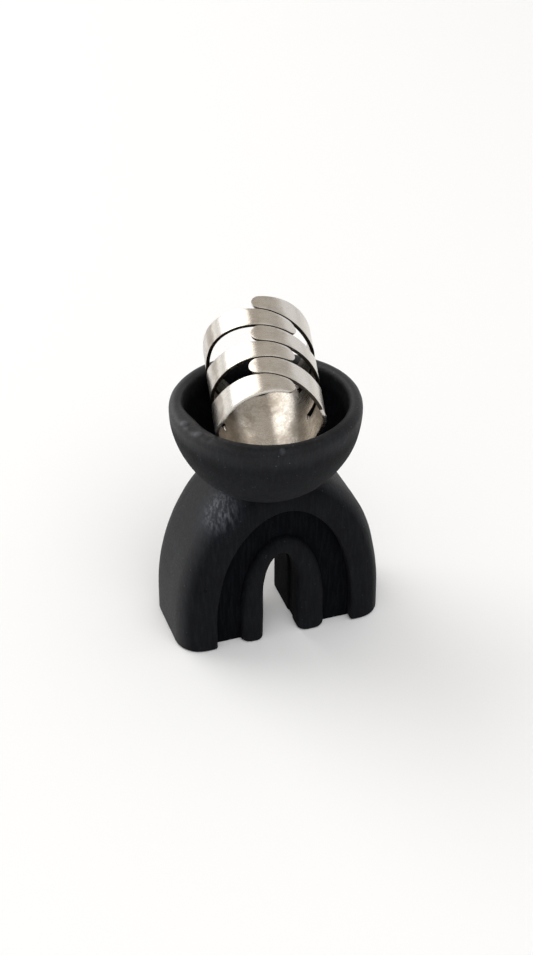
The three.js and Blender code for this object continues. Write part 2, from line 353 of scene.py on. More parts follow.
def satin_silver(sizes):
    """Sterling silver sheet, rolled, filed and satin finished by hand: soft bright reflections,
    fine scratches round the ring, tiny pits, a brownish bloom on the finger tips and inside, and
    painted darker reflections on the outside's left side and low inside the ring."""
    material, tree = new_material("satin_sterling_silver")
    metres = add_node(tree, "ShaderNodeTexCoord").outputs["Object"]
    rolled = add_node(tree, "ShaderNodeUVMap", uv_map="rolled_mm").outputs["UV"]
    bloom_and_painted_reflection_mask = add_node(tree, "ShaderNodeAttribute", attribute_name="bloom_and_painted_reflection").outputs["Fac"]

    # Clouds of bloom and painted reflection about 2 mm across, and fine ones of 0.5 mm
    clouds = add_node(tree, "ShaderNodeTexNoise", {
        "Vector": metres, "Scale": 1 / (2.2 * MM), "Detail": 5, "Roughness": 0.6})
    specks = add_node(tree, "ShaderNodeTexNoise", {
        "Vector": metres, "Scale": 1 / (0.45 * MM), "Detail": 3, "Roughness": 0.7})
    cloudy = add_node(tree, "ShaderNodeMath", {
        0: clouds.outputs["Fac"], 1: 0.5}, operation="SUBTRACT").outputs[0]
    speckled = add_node(tree, "ShaderNodeMath", {
        0: specks.outputs["Fac"], 1: 0.5}, operation="SUBTRACT").outputs[0]
    uneven = add_node(tree, "ShaderNodeMath", {
        0: cloudy, 1: 1.3, 2: bloom_and_painted_reflection_mask}, operation="MULTIPLY_ADD").outputs[0]
    uneven = add_node(tree, "ShaderNodeMath", {
        0: speckled, 1: 0.9, 2: uneven}, operation="MULTIPLY_ADD").outputs[0]
    bloom_and_painted_reflection = add_node(tree, "ShaderNodeMapRange", {
        "Value": uneven, "From Min": 0.12, "From Max": 0.95},
        interpolation_type="SMOOTHSTEP").outputs[0]
    colour = add_node(tree, "ShaderNodeMix", {
        0: bloom_and_painted_reflection, MIX_FIRST: (*sizes.silver_colour, 1), MIX_SECOND: (*sizes.bloom_and_painted_reflection_colour, 1)},
        data_type="RGBA").outputs[MIX_RESULT]

    # Scratches 0.12 mm apart and some 3 mm long, round the ring
    along = add_node(tree, "ShaderNodeMapping", {"Vector": rolled, "Scale": (0.35, 8.0, 1.0)})
    scratches = add_node(tree, "ShaderNodeTexNoise", {
        "Vector": along.outputs[0], "Scale": 1.0, "Detail": 4, "Roughness": 0.65})
    pits = add_node(tree, "ShaderNodeTexVoronoi", {"Vector": metres, "Scale": 1 / (1.6 * MM)})
    pit = add_node(tree, "ShaderNodeMapRange", {
        "Value": pits.outputs["Distance"], "From Min": 0.03, "From Max": 0.09, "To Min": -1.0,
        "To Max": 0.0})
    relief = add_node(tree, "ShaderNodeMath", {
        0: pit.outputs[0], 1: 1.2, 2: scratches.outputs["Fac"]},
        operation="MULTIPLY_ADD").outputs[0]
    relief = add_node(tree, "ShaderNodeMath", {
        0: clouds.outputs["Fac"], 1: 1.4, 2: relief}, operation="MULTIPLY_ADD").outputs[0]
    bump = add_node(tree, "ShaderNodeBump", {
        "Height": relief, "Strength": 0.25, "Distance": 0.03 * MM})

    rough = add_node(tree, "ShaderNodeMapRange", {
        "Value": scratches.outputs["Fac"], "From Min": 0.3, "From Max": 0.7, "To Min": 0.22,
        "To Max": 0.32})
    rough = add_node(tree, "ShaderNodeMath", {
        0: bloom_and_painted_reflection, 1: 0.08, 2: rough.outputs[0]}, operation="MULTIPLY_ADD").outputs[0]
    # The scratches run round the ring, so a highlight is drawn out along the ring's length
    round_ring = add_node(
        tree, "ShaderNodeTangent", direction_type="UV_MAP", uv_map="rolled_mm").outputs[0]
    surface = add_node(tree, "ShaderNodeBsdfPrincipled", {
        "Base Color": colour, "Metallic": 1.0, "Roughness": rough, "Anisotropic": 0.7,
        "Anisotropic Rotation": 0.25, "Tangent": round_ring, "Normal": bump.outputs[0]})
    add_node(tree, "ShaderNodeOutputMaterial", {"Surface": surface.outputs[0]})
    return material


def darkened_silver(sizes):
    """The sawn walls of the sheet, where the silver has darkened and no polishing cloth reaches."""
    material, tree = new_material("darkened_sawn_silver")
    metres = add_node(tree, "ShaderNodeTexCoord").outputs["Object"]
    wear_and_shade = add_node(tree, "ShaderNodeTexNoise", {
        "Vector": metres, "Scale": 1 / (0.9 * MM), "Detail": 4})
    share = add_node(tree, "ShaderNodeMapRange", {
        "Value": wear_and_shade.outputs["Fac"], "From Min": 0.55, "From Max": 0.8, "To Max": 0.5}).outputs[0]
    colour = add_node(tree, "ShaderNodeMix", {
        0: share, MIX_FIRST: (*sizes.sawn_colour, 1), MIX_SECOND: (*sizes.bloom_and_painted_reflection_colour, 1)},
        data_type="RGBA").outputs[MIX_RESULT]
    surface = add_node(tree, "ShaderNodeBsdfPrincipled", {
        "Base Color": colour, "Metallic": 1.0, "Roughness": 0.45})
    add_node(tree, "ShaderNodeOutputMaterial", {"Surface": surface.outputs[0]})
    return material


def black_stoneware(sizes):
    """Black stoneware, cast, smoothed by hand and fired without glaze: matte charcoal with a fine
    grain, faint brush marks, rubbed lighter patches, pits and small bumps. Painted shade makes
    the hollow, the groove, the doorway, the flat fronts and the pits darker, and painted
    highlights sit on the rim's bumps."""
    material, tree = new_material("black_matte_stoneware")
    metres = add_node(tree, "ShaderNodeTexCoord").outputs["Object"]
    wear_and_shade = add_node(tree, "ShaderNodeAttribute", attribute_name="wear_and_shade").outputs["Fac"]
    # One burnished patch on the left shoulder, about 9 mm across
    off_patch = add_node(tree, "ShaderNodeVectorMath", {
        0: metres, 1: sizes.rubbed_place}, operation="DISTANCE").outputs["Value"]
    rubbed = add_node(tree, "ShaderNodeMapRange", {
        "Value": off_patch, "From Min": 3 * MM, "From Max": 8 * MM, "To Min": 1.0, "To Max": 0.22},
        interpolation_type="SMOOTHSTEP").outputs[0]

    # Cloudy tone over 4 mm, grain of 0.35 mm and brush marks 0.3 mm apart and 4 mm long
    tone = add_node(tree, "ShaderNodeTexNoise", {
        "Vector": metres, "Scale": 1 / (4 * MM), "Detail": 6, "Roughness": 0.62})
    grain = add_node(tree, "ShaderNodeTexNoise", {
        "Vector": metres, "Scale": 1 / (0.35 * MM), "Detail": 3, "Roughness": 0.6})
    brushed = add_node(tree, "ShaderNodeMapping", {
        "Vector": metres, "Rotation": (0.0, math.radians(35), 0.0),
        "Scale": (1 / (0.45 * MM), 1 / (1.0 * MM), 1 / (4 * MM))})
    marks = add_node(tree, "ShaderNodeTexNoise", {
        "Vector": brushed.outputs[0], "Scale": 1.0, "Detail": 3, "Roughness": 0.6})
    lift = add_node(tree, "ShaderNodeMath", {
        0: marks.outputs["Fac"], 1: rubbed}, operation="MULTIPLY").outputs[0]
    lift = add_node(tree, "ShaderNodeMapRange", {
        "Value": lift, "From Min": 0.12, "From Max": 0.75, "To Max": 0.9}).outputs[0]
    mottle = add_node(tree, "ShaderNodeMapRange", {
        "Value": tone.outputs["Fac"], "From Min": 0.35, "From Max": 0.75,
        "To Max": 0.25}).outputs[0]
    light_share = add_node(
        tree, "ShaderNodeMath", {0: lift, 1: mottle}, operation="ADD", use_clamp=True).outputs[0]
    fine = add_node(tree, "ShaderNodeMapRange", {
        "Value": grain.outputs["Fac"], "From Min": 0.3, "From Max": 0.7, "To Min": -0.25,
        "To Max": 0.3}).outputs[0]
    light_share = add_node(tree, "ShaderNodeMath", {
        0: light_share, 1: fine}, operation="ADD", use_clamp=True).outputs[0]
    # The wear mask lightens worn places, and where it is low it paints shade, darker: in the bowl's
    # hollow, the groove, the doorway and on flat fronts
    wear_and_shade_scale = add_node(tree, "ShaderNodeMapRange", {
        "Value": wear_and_shade, "From Max": 0.5, "To Min": 0.15, "To Max": 1.2}).outputs[0]
    light_share = add_node(tree, "ShaderNodeMath", {
        0: light_share, 1: wear_and_shade_scale}, operation="MULTIPLY", use_clamp=True).outputs[0]
    colour = add_node(tree, "ShaderNodeMix", {
        0: light_share, MIX_FIRST: (*sizes.clay_colour, 1), MIX_SECOND: (*sizes.rubbed_colour, 1)},
        data_type="RGBA").outputs[MIX_RESULT]

    # Burnished streaks on the patch, light specks about 0.1 mm wide and 1.5 mm apart, and painted
    # highlights on the rim's bumps
    streak = add_node(tree, "ShaderNodeMapRange", {
        "Value": marks.outputs["Fac"], "From Min": 0.44, "From Max": 0.66,
        "To Max": 0.9}).outputs[0]
    burnished = add_node(tree, "ShaderNodeMapRange", {
        "Value": off_patch, "From Min": 2 * MM, "From Max": 5.5 * MM, "To Min": 1.0,
        "To Max": 0.03},
        interpolation_type="SMOOTHSTEP").outputs[0]
    streak = add_node(tree, "ShaderNodeMath", {
        0: streak, 1: burnished}, operation="MULTIPLY").outputs[0]
    dots = add_node(tree, "ShaderNodeTexVoronoi", {
        "Vector": metres, "Scale": 1 / (1.5 * MM)}).outputs["Distance"]
    dot = add_node(tree, "ShaderNodeMapRange", {
        "Value": dots, "From Min": 0.04, "From Max": 0.09, "To Min": 0.5, "To Max": 0.0}).outputs[0]
    speck = add_node(tree, "ShaderNodeMath", {0: dot, 1: wear_and_shade_scale}, operation="MULTIPLY").outputs[0]
    pale = add_node(tree, "ShaderNodeMath", {0: streak, 1: speck}, operation="MAXIMUM").outputs[0]
    # Painted highlights on the rim's bumps
    for place in PAINTED_HIGHLIGHT_SPOTS:
        off = add_node(tree, "ShaderNodeVectorMath", {
            0: metres, 1: Vector(place) * MM}, operation="DISTANCE").outputs["Value"]
        near = add_node(tree, "ShaderNodeMapRange", {
            "Value": off, "From Min": 0.2 * MM, "From Max": 0.9 * MM, "To Min": 1.4,
            "To Max": 0.0}).outputs[0]
        near = add_node(tree, "ShaderNodeMath", {
            0: near, 1: grain.outputs["Fac"]}, operation="MULTIPLY").outputs[0]
        pale = add_node(tree, "ShaderNodeMath", {0: pale, 1: near}, operation="MAXIMUM").outputs[0]
    colour = add_node(tree, "ShaderNodeMix", {
        0: pale, MIX_FIRST: colour, MIX_SECOND: (*linear(PALE_CLAY_AND_HIGHLIGHT), 1)},
        data_type="RGBA").outputs[MIX_RESULT]

    # The few larger pits, each 0.5 mm wide, painted near-black as shade
    pit_shade = 0.0
    for place in PITS:
        off = add_node(tree, "ShaderNodeVectorMath", {
            0: metres, 1: Vector(place) * MM}, operation="DISTANCE").outputs["Value"]
        near = add_node(tree, "ShaderNodeMapRange", {
            "Value": off, "From Min": 0.25 * MM, "From Max": 0.5 * MM, "To Min": 1.0,
            "To Max": 0.0}).outputs[0]
        pit_shade = add_node(tree, "ShaderNodeMath", {0: pit_shade, 1: near}, operation="ADD").outputs[0]
    colour = add_node(tree, "ShaderNodeMix", {
        0: pit_shade, MIX_FIRST: colour, MIX_SECOND: (*linear(PIT_SHADE_CLAY), 1)},
        data_type="RGBA").outputs[MIX_RESULT]

    # Pits about 0.3 mm wide and 4 mm apart
    pits = add_node(tree, "ShaderNodeTexVoronoi", {"Vector": metres, "Scale": 1 / (4 * MM)})
    pit = add_node(tree, "ShaderNodeMapRange", {
        "Value": pits.outputs["Distance"], "From Min": 0.03, "From Max": 0.08, "To Min": -1.0,
        "To Max": 0.0})
    relief = add_node(tree, "ShaderNodeMath", {
        0: pit.outputs[0], 1: 0.8, 2: grain.outputs["Fac"]}, operation="MULTIPLY_ADD").outputs[0]
    relief = add_node(tree, "ShaderNodeMath", {
        0: tone.outputs["Fac"], 1: 1.2, 2: relief}, operation="MULTIPLY_ADD").outputs[0]
    bump = add_node(tree, "ShaderNodeBump", {
        "Height": relief, "Strength": 0.5, "Distance": 0.12 * MM})
    # Handled places are smoother and shine a little more than the bare matte clay
    rough = add_node(tree, "ShaderNodeMapRange", {
        "Value": wear_and_shade, "To Min": 0.88, "To Max": 0.5}).outputs[0]
    rough = add_node(tree, "ShaderNodeMath", {
        0: fine, 1: 0.35, 2: rough}, operation="MULTIPLY_ADD").outputs[0]
    shine = add_node(tree, "ShaderNodeMapRange", {
        "Value": wear_and_shade, "To Min": 0.04, "To Max": 0.44}).outputs[0]
    surface = add_node(tree, "ShaderNodeBsdfPrincipled", {
        "Base Color": colour, "Roughness": rough, "IOR": 1.5, "Specular IOR Level": shine,
        "Normal": bump.outputs[0]})
    add_node(tree, "ShaderNodeOutputMaterial", {"Surface": surface.outputs[0]})
    return material


def pale_paper(sizes):
    """Plain matte studio paper under the holder."""
    material, tree = new_material("pale_studio_paper")
    surface = add_node(tree, "ShaderNodeBsdfPrincipled", {
        "Base Color": (*sizes.floor_colour, 1), "Roughness": 0.9, "Specular IOR Level": 0.1})
    add_node(tree, "ShaderNodeOutputMaterial", {"Surface": surface.outputs[0]})
    return material


# Meshes

def finish_piece(mesh, name, *materials):
    """A bmesh as an object of the scene, smooth shaded, with its materials."""
    data = bpy.data.meshes.new(name)
    mesh.to_mesh(data)
    mesh.free()
    data.shade_smooth()
    for material in materials:
        data.materials.append(material)
    piece = bpy.data.objects.new(name, data)
    bpy.context.scene.collection.objects.link(piece)
    return piece


def smooth_through(stations, values, at):
    """A smooth curve through values at rising stations, level outside the first and the last."""
    last = len(stations) - 1
    x = min(max(at, stations[0]), stations[last])
    k = min(max(i for i in range(last + 1) if stations[i] <= x), last - 1)
    width = stations[k + 1] - stations[k]

    def slope(i):
        if i in (0, last):
            return 0
        return (values[i + 1] - values[i - 1]) / (stations[i + 1] - stations[i - 1])

    t = (x - stations[k]) / width
    rise = width * t * (1 - t) * (slope(k) * (1 - t) - slope(k + 1) * t)
    return mix(values[k], values[k + 1], t * t * (3 - 2 * t)) + rise


def from_top(angle):
    """How many degrees an angle is from the top of the ring, to either side."""
    return abs(angle - 360 if angle > 180 else angle)


class RingBlank:
    """The sawn silver sheet, laid out by angle round the ring and by share of its length."""

    def __init__(self, sizes):
        self.sizes = sizes

    def near_end(self, angle):
        drawn = smooth_step(from_top(angle), *NEAR_DRAW_ANGLES)
        return self.sizes.near_draw / self.sizes.length * drawn

    def far_end(self, angle):
        drawn = smooth_step(from_top(angle), *FAR_DRAW_ANGLES)
        return 1 - self.sizes.far_draw / self.sizes.length * drawn

    def finger_edges(self, finger, angle):
        """The near and far edge of a finger, drawn in by half the gap to its neighbours."""
        root = min(from_top(angle) / ROOT_ANGLE, 1)
        half = mix(self.sizes.gap, self.sizes.slot, root) / 2 / self.sizes.length
        near = 0 if finger == 0 else smooth_through(CUT_ANGLES, CUTS[finger - 1], angle) + half
        far = 1 if finger == 5 else smooth_through(CUT_ANGLES, CUTS[finger], angle) - half
        return max(near, self.near_end(angle)), min(far, self.far_end(angle))

    def band_edges(self, band, angle):
        """The edges of one of the three bands, each a right finger, a share of the back and a left
        finger."""
        right, left = 2 * band + 1, 2 * band
        if angle < ROOT_ANGLE:
            return self.finger_edges(right, angle)
        if angle > 360 - ROOT_ANGLE:
            return self.finger_edges(left, angle - 360)
        t = (angle - ROOT_ANGLE) / (360 - 2 * ROOT_ANGLE)
        right_near, right_far = self.finger_edges(right, ROOT_ANGLE)
        left_near, left_far = self.finger_edges(left, -ROOT_ANGLE)
        near = self.near_end(angle) if band == 0 else mix(right_near, left_near, t)
        far = self.far_end(angle) if band == 2 else mix(right_far, left_far, t)
        return near, far

    def tip_reach(self, finger):
        """How many degrees the round tip of a finger takes up."""
        near, far = self.finger_edges(finger, TIP_ANGLES[finger])
        return math.degrees((far - near) / 2 * self.sizes.length / (self.sizes.bore_width / 2))


def silver_sheet(sizes, rows=6, tip=12, side=76, short=6, back=66):
    """The ring as a flat sawn blank, rolled round its bore and given its thickness. It has rows of
    faces across a finger, and columns for a round tip, a finger's side, the step between the two
    slots' ends on the right, and the back."""
    blank = RingBlank(sizes)
    columns = 2 * tip + 2 * side + short + back
    stops = (tip, tip + side, tip + side + short, columns - tip - side, columns - tip)
    last_row = 3 * rows + 2

    sheet = bmesh.new()
    bmesh.ops.create_grid(sheet, x_segments=columns, y_segments=last_row, size=0.5)
    places = {}
    for vert in sheet.verts:
        places[vert] = (round((vert.co.x + 0.5) * columns), round((vert.co.y + 0.5) * last_row))

    # The two rows of the bridges stay only round the back, between the slots' blind ends
    slots = []
    for face in sheet.faces:
        column = min(places[vert][0] for vert in face.verts)
        row = min(places[vert][1] for vert in face.verts)
        if row % (rows + 1) == rows and not stops[1 + row // (rows + 1)] <= column < stops[3]:
            slots.append(face)
    bmesh.ops.delete(sheet, geom=slots, context="FACES")
    loose = [vert for vert in sheet.verts if not vert.link_faces]
    bmesh.ops.delete(sheet, geom=loose, context="VERTS")

    def column_place(band, column):
        """The angle of a column in a band, and how much of the band's width it keeps."""
        if column > stops[3]:
            finger, inward, from_tip = 2 * band, -1, columns - column
        else:
            finger, inward, from_tip = 2 * band + 1, 1, column
        tip_angle = TIP_ANGLES[finger] + (360 if inward < 0 else 0)
        reach = blank.tip_reach(finger)
        if from_tip < tip:
            turn = TIP_TURN * (1 - from_tip / tip)
            return tip_angle + inward * reach * (1 - math.sin(turn)), math.cos(turn)
        start = tip_angle + inward * reach
        marks = (start, *RIGHT_SLOT_ENDS, LEFT_SLOT_END) if inward > 0 else (LEFT_SLOT_END, start)
        at = stops[:4] if inward > 0 else stops[3:]
        k = max(i for i in range(len(at) - 1) if at[i] <= column)
        return mix(marks[k], marks[k + 1], (column - at[k]) / (at[k + 1] - at[k])), 1.0

    half_width, half_height = sizes.bore_width / 2, sizes.bore_height / 2
    uv = sheet.loops.layers.uv.new("rolled_mm")
    flat = {}
    for vert in sheet.verts:
        column, row = places[vert]
        band, step = divmod(row, rows + 1)
        angle, keep = column_place(band, column)
        near, far = blank.band_edges(band, angle)
        share = (near + far) / 2 + (far - near) * keep * (step / rows - 0.5)
        vert.co = (
            half_width * math.sin(math.radians(angle)),
            (share - 0.5) * sizes.length,
            half_height * math.cos(math.radians(angle)))
        around = math.radians(angle) * (half_width + half_height) / 2
        flat[vert] = (around / MM, share * sizes.length / MM)
    for face in sheet.faces:
        for loop in face.loops:
            loop[uv].uv = flat[loop.vert]

    bmesh.ops.recalc_face_normals(sheet, faces=sheet.faces)
    bmesh.ops.solidify(sheet, geom=sheet.faces[:], thickness=-sizes.sheet)
    bmesh.ops.recalc_face_normals(sheet, faces=sheet.faces)
    return sheet


def file_ring_edges(sheet, sizes):
    """Breaks the sheet's sharp edges, as a file does."""
    least = math.radians(50)
    sharp = [
        edge for edge in sheet.edges if edge.is_manifold and edge.calc_face_angle() > least]
    bmesh.ops.bevel(
        sheet, geom=sharp, offset=sizes.edge, offset_type="OFFSET", segments=2, profile=0.5,
        affect="EDGES", material=-1, clamp_overlap=True)


def age_ring(sheet, sizes):
    """Dents the sheet by a few hundredths of a millimetre, and says where the bloom is and where
    a darker reflection is painted: on the outside's left side and low inside the ring.
    """
    bloom_and_painted_reflection = sheet.verts.layers.float.new("bloom_and_painted_reflection")
    middle_width = (sizes.bore_width + sizes.sheet) / 2
    middle_height = (sizes.bore_height + sizes.sheet) / 2
    for vert in sheet.verts:
        x, y, z = vert.co
        outside = math.hypot(x / middle_width, z / middle_height) > 1
        angle = math.degrees(math.atan2(x / middle_width, z / middle_height))
        wave = noise.noise(Vector((x, y, z)) / (5 * MM))
        ripple = noise.noise(Vector((x, y, z)) / (1.3 * MM) + Vector((7, 3, 1)))
        if outside:
            share = y / sizes.length + 0.5
            finger = sum(share > smooth_through(CUT_ANGLES, cut, angle) for cut in CUTS)
            edge = BLOOM_EDGES[finger] + 5 * wave + 3 * ripple
            tips = smooth_step(angle, edge - 3, edge + 3) * (1 - smooth_step(angle, 16, 50))
            # The outside's left side, beyond 52 degrees from the top, is painted darker as a
            # reflection
            left = smooth_step(-angle, 52, 60) * (1 - 0.5 * smooth_step(-angle, 64, 72))
            vert[bloom_and_painted_reflection] = 0.3 * tips + 0.7 * left
        else:
            # Inside, a band low on each side is painted darker as a reflection
            low = smooth_step(abs(angle), 70, 150) * (1 - smooth_step(abs(angle), 165, 180))
            vert[bloom_and_painted_reflection] = 0.2 + 0.35 * low + 0.4 * wave
        radial = Vector((x / middle_width, 0, z / middle_height)).normalized()
        vert.co += radial * (0.025 * wave + 0.006 * ripple) * MM


def mark_sawn_edges(sheet, sizes):
    """Gives the walls inside the slots the second material. The ring's two ends and the round
    finger tips are polished."""
    blank = RingBlank(sizes)
    middle_width = sizes.bore_width + sizes.sheet
    middle_height = sizes.bore_height + sizes.sheet
    sheet.normal_update()
    for face in sheet.faces:
        middle = face.calc_center_median()
        radial = Vector((
            middle.x / middle_width ** 2, 0, middle.z / middle_height ** 2)).normalized()
        round_ring = Vector((radial.z, 0, -radial.x))
        angle = math.degrees(math.atan2(middle.x / middle_width, middle.z / middle_height))
        share = middle.y / sizes.length + 0.5
        at_near_end = share < blank.near_end(angle) + END_SHARE
        at_far_end = share > blank.far_end(angle) - END_SHARE
        at_tip = abs(face.normal.dot(round_ring)) > 0.5
        polished = at_near_end or at_far_end or at_tip
        wall = abs(face.normal.dot(radial)) < 0.2
        face.material_index = 1 if wall and not polished else 0


def lean_ring(sheet, sizes):
    """Turns the ring as it leans, and moves it into the bowl."""
    turn = (
        Matrix.Rotation(sizes.heading, 4, "Z")
        @ Matrix.Rotation(sizes.tilt, 4, "X")
        @ Matrix.Rotation(sizes.spin, 4, "Y"))
    bmesh.ops.transform(sheet, matrix=Matrix.Translation(sizes.middle) @ turn, verts=sheet.verts)


def spun_arc(mesh, start, middle, degrees, steps):
    """A vertex at start, spun round the middle into an arc across Y. Returns the arc's vertices."""
    first = bmesh.ops.create_vert(mesh, co=start)["vert"][0]
    known = set(mesh.verts)
    bmesh.ops.spin(
        mesh, geom=[first], cent=middle, axis=(0, 1, 0), dvec=(0, 0, 0),
        angle=math.radians(degrees), steps=steps, use_merge=False)
    made = [vert for vert in mesh.verts if vert not in known]
    return [first, *made]


def stoneware_bowl(sizes, outer_steps=40, rim_steps=14, inner_steps=36, turn_steps=300):
    """The bowl: its section as three arcs, spun round the upright axis. The front of the rim is
    then raised and thickened, and the front of the hollow moved to the right."""
    bowl = bmesh.new()
    middle = Vector(sizes.bowl_middle)
    rim_round = sizes.bowl_wall / 2
    rim_middle = middle + Vector((sizes.bowl_radius - rim_round, 0, 0))
    hollow_radius = sizes.bowl_radius - sizes.bowl_wall
    spun_arc(bowl, middle - Vector((0, 0, sizes.bowl_radius)), middle, -90, outer_steps)
    spun_arc(bowl, rim_middle + Vector((rim_round, 0, 0)), rim_middle, -180, rim_steps)
    hollow = spun_arc(bowl, middle + Vector((hollow_radius, 0, 0)), middle, 90, inner_steps)
    for vert in hollow:
        vert.co.z = middle.z + (vert.co.z - middle.z) * sizes.hollow_depth / hollow_radius
    bmesh.ops.remove_doubles(bowl, verts=bowl.verts, dist=0.001 * MM)
    bmesh.ops.spin(
        bowl, geom=bowl.verts[:] + bowl.edges[:], cent=middle, axis=(0, 0, 1), dvec=(0, 0, 0),
        angle=math.tau, steps=turn_steps, use_merge=True)
    bmesh.ops.remove_doubles(bowl, verts=bowl.verts, dist=0.01 * MM)
    bmesh.ops.recalc_face_normals(bowl, faces=bowl.faces)
    for vert in bowl.verts:
        place = vert.co - middle
        reach = math.hypot(place.x, place.y)
        near_rim = smooth_step(place.z, -RIM_DEPTH, 0)
        if reach > 0:
            inside = smooth_step(sizes.bowl_radius - reach, rim_round * 0.6, sizes.bowl_wall)
            front = 1 - smooth_step(place.y, *FRONT_FADE)
            fuller = sizes.rim_fullness * inside * front * near_rim
            draw = fuller * smooth_step(reach, 0, hollow_radius)
            vert.co.x += sizes.hollow_offset * inside * near_rim * front - draw * place.x / reach
            vert.co.y -= draw * place.y / reach
        vert.co.z -= sizes.rim_tilt * place.y / sizes.bowl_radius * near_rim
    return bowl


def arch_section(width, front, back, outer_edge, inner_edge):
    """An arch's leg in section, a rounded outline: X from its inner wall out, Y from the front."""
    section = bmesh.new()
    bmesh.ops.create_grid(section, x_segments=1, y_segments=1, size=0.5)
    for vert in section.verts:
        vert.co = ((vert.co.x + 0.5) * width, mix(front, back, vert.co.y + 0.5), 0)
    for inner, rounding in ((False, outer_edge), (True, inner_edge)):
        corners = [vert for vert in section.verts if (vert.co.x < width / 2) == inner]
        if rounding > 0:
            bmesh.ops.bevel(
                section, geom=corners, offset=rounding, offset_type="OFFSET", segments=8,
                profile=0.5, affect="VERTICES", material=-1, clamp_overlap=True)
    bmesh.ops.delete(section, geom=section.faces[:], context="FACES_ONLY")
    long_edges = [edge for edge in section.edges if edge.calc_length() > LONG_EDGE]
    bmesh.ops.subdivide_edges(section, edges=long_edges, cuts=3, use_grid_fill=False)
    return section


def stoneware_arch(outer, inner, front, back, outer_edge, inner_edge, sole_edge, steps=60):
    """An arch of stoneware between two outlines, each a half width, a straight height, a top and
    how far right its middle is, drawn out from front to back. outer_edge, inner_edge and sole_edge
    are the roundings of its corners and of the legs' lower rims."""
    outer_half, outer_straight, outer_top, outer_middle = outer
    inner_half, inner_straight, inner_top, inner_middle = inner
    width = outer_half - inner_half
    arch = arch_section(width, front, back, outer_edge, inner_edge)
    bmesh.ops.translate(arch, verts=arch.verts, vec=(width, 0, 0))
    bmesh.ops.spin(
        arch, geom=arch.verts[:] + arch.edges[:], cent=(0, 0, 0), axis=(0, 1, 0), dvec=(0, 0, 0),
        angle=-math.pi, steps=steps, use_merge=False)
    for vert in arch.verts:
        across, up = vert.co.x, vert.co.z
        reach = math.hypot(across, up)
        outward = reach / width - 1
        side = across / reach
        rise = max(up / reach, 0)
        outer_height = outer_straight + (outer_top - outer_straight) * rise
        over = max(outer_height - inner_straight, 0) / (outer_top - inner_straight)
        inner_height = min(outer_height, inner_straight) + (inner_top - inner_straight) * over
        inner_across = math.copysign(inner_half * math.sqrt(max(1 - over * over, 0)), side)
        vert.co.x = mix(inner_middle + inner_across, outer_middle + outer_half * side, outward)
        vert.co.z = mix(inner_height, outer_height, outward)

    # The legs go down to the ground in steps, and draw in round the sole
    middle, half_depth = (front + back) / 2, (back - front) / 2
    drawn_in = 0
    for step in range(SOLE_STEPS + 1):
        turn = math.radians(step * 90 / SOLE_STEPS)
        height = sole_edge * (1 - math.sin(turn))
        inset = sole_edge * (1 - math.cos(turn))
        ends = [edge for edge in arch.edges if edge.is_boundary]
        ring = bmesh.ops.extrude_edge_only(arch, edges=ends)["geom"]
        for vert in ring:
            if isinstance(vert, bmesh.types.BMVert):
                side = math.copysign(1, vert.co.x)
                out, into = outer_middle + side * outer_half, inner_middle + side * inner_half
                half = abs(out - into) / 2
                leg = (out + into) / 2
                vert.co.x = leg + (vert.co.x - leg) * (half - inset) / (half - drawn_in)
                keep = (half_depth - inset) / (half_depth - drawn_in)
                vert.co.y = middle + (vert.co.y - middle) * keep
                vert.co.z = height
        drawn_in = inset
    bmesh.ops.holes_fill(arch, edges=[edge for edge in arch.edges if edge.is_boundary], sides=0)
    bmesh.ops.recalc_face_normals(arch, faces=arch.faces)
    return arch


def joined(parts):
    """Several bmeshes as one."""
    whole = bmesh.new()
    for part in parts:
        data = bpy.data.meshes.new("part")
        part.to_mesh(data)
        part.free()
        whole.from_mesh(data)
        bpy.data.meshes.remove(data)
    return whole


def stoneware_foot(sizes):
    """The arched foot: a wide outer arch, a thinner wall behind the groove, and a round inner arch
    on the front, with a shallow crease in the doorway's wall behind it."""
    front = sizes.foot_offset - sizes.foot_depth / 2
    back = sizes.foot_offset + sizes.foot_depth / 2
    wall_front, wall_back = front + sizes.groove_depth, back - sizes.back_recess
    band_back = front + sizes.rope_depth
    door_half = sizes.door_width / 2
    opening_half = sizes.foot_width / 2 - sizes.outer_leg
    straight = sizes.groove_straight

    # The outlines, from the outermost to the doorway
    outside = (sizes.foot_width / 2, sizes.leg_straight, sizes.foot_height, 0)
    inside_arch = (
        opening_half + WALL_OVERLAP, straight, sizes.groove_top + WALL_OVERLAP,
        sizes.groove_offset)
    opening = (opening_half, straight, sizes.groove_top, sizes.groove_offset)
    band = (
        door_half + sizes.inner_band, straight, sizes.door_height + sizes.inner_band_top,
        sizes.inner_band_offset)
    crease = (
        door_half + sizes.crease, sizes.door_straight, sizes.door_height + sizes.crease,
        sizes.door_offset)
    door = (door_half, sizes.door_straight, sizes.door_height, sizes.door_offset)

    sole = sizes.sole_edge
    foot = joined((
        stoneware_arch(outside, opening, front, back, sizes.foot_edge, GROOVE_EDGE, sole),
        stoneware_arch(inside_arch, crease, wall_front, wall_back - DOOR_EDGE, 0, 0, sole / 2),
        stoneware_arch(band, door, front, band_back, sizes.rope_edge, sizes.rope_edge * 0.75, sole),
        stoneware_arch(inside_arch, door, band_back + CREASE_WIDTH, wall_back, 0, DOOR_EDGE, sole),
    ))
    top = sizes.bowl_middle[2] - sizes.hollow_depth - UNDER_HOLLOW
    for vert in foot.verts:
        vert.co.z = min(vert.co.z, top)
    return foot


